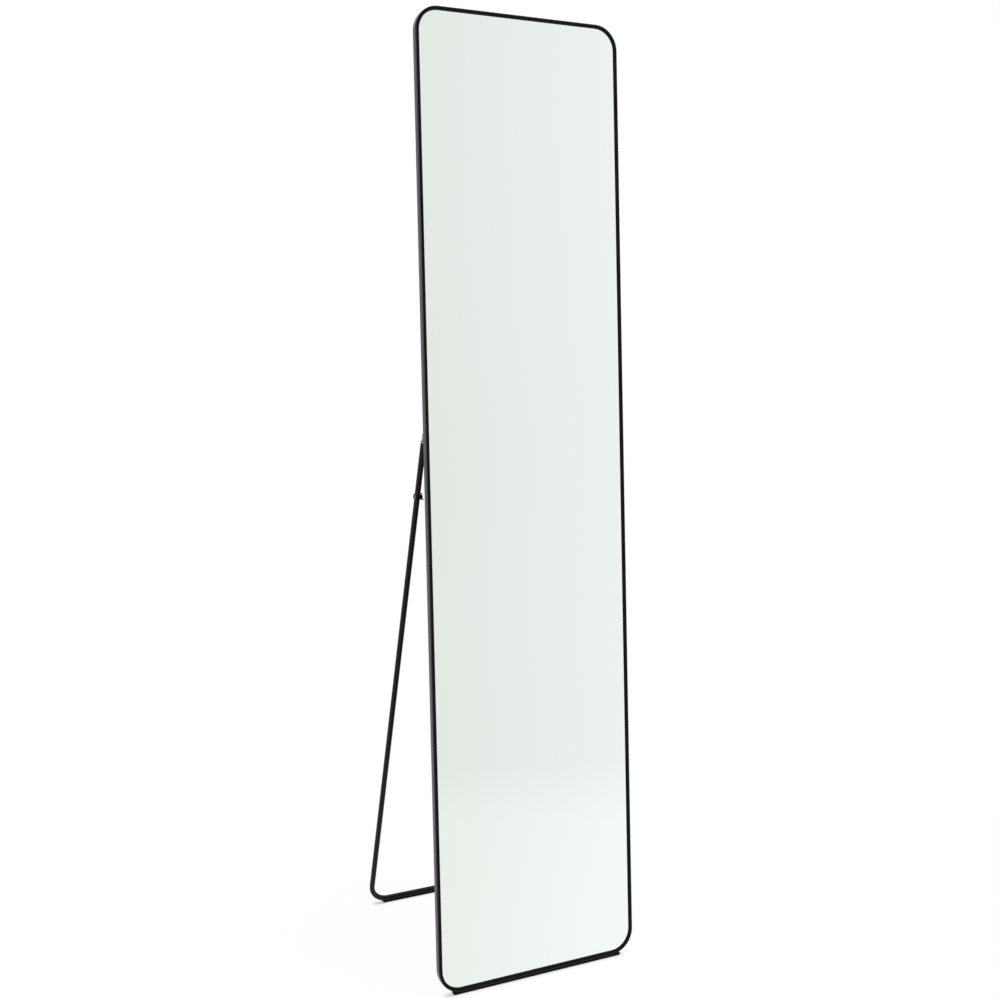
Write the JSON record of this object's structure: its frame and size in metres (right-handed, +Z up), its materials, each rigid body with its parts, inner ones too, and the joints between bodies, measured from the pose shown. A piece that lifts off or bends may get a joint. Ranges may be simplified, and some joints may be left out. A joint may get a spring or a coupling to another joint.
{
  "type": "floor mirror",
  "caption": "Slim full-length floor mirror with a rounded black frame, leaning back on a hinged U-shaped tube stand that folds flat.",
  "frame": {"origin": "on the floor, in the middle of the space that the whole mirror takes up with its stand open", "axes": "+X to the right seen from the front, +Y to the back, so the mirror faces -Y, +Z up"},
  "size_m": [0.3524, 0.3128, 1.5006],
  "materials": {
    "frame": "black anodised, satin",
    "mirror_glass": "silvered float glass",
    "glazing_tape": "closed-cell foam tape",
    "foam": "foamed sheet",
    "board": "hardboard, painted black",
    "rubber": "matte",
    "plate_steel": "zinc-plated",
    "screws": "zinc-plated",
    "hinge_metal": "zinc, dull grey",
    "pin_steel": "zinc-plated, dull",
    "washer": "natural nylon",
    "stand": "powder coat, satin",
    "spigot_steel": "bare",
    "bolt": "black-oxide",
    "clamp_plastic": "moulded, semi-gloss"
  },
  "bodies": {
    "mirror_panel": {"frame_profile": "frame", "seam_plate": "plate_steel", "seam_screws": "screws", "glazing_tape": "glazing_tape", "mirror_glass": "mirror_glass", "foam_sheet": "foam", "back_board": "board", "foot_strip": "rubber", "left_hinge_bracket": "hinge_metal", "left_bracket_screws": "screws", "left_hinge_pin": "pin_steel", "left_hinge_washer": "washer", "right_hinge_bracket": "hinge_metal", "right_bracket_screws": "screws", "right_hinge_pin": "pin_steel", "right_hinge_washer": "washer"},
    "stand": {"u_tube": "stand", "stand_foot_strip": "rubber", "left_leg_end": "hinge_metal", "left_upper_tube": "stand", "left_spigot": "spigot_steel", "left_clamp_bolt": "bolt", "left_wing_nut": "clamp_plastic", "right_leg_end": "hinge_metal", "right_upper_tube": "stand", "right_spigot": "spigot_steel", "right_clamp_bolt": "bolt", "right_wing_nut": "clamp_plastic"}
  },
  "joints": [
    {"name": "stand_fold", "type": "hinge", "parent": "mirror_panel", "child": "stand", "pos_m": [0, -0.07923, 0.85707], "axis": [-1, 0, 0], "range_deg": [0, 19.2]}
  ]
}
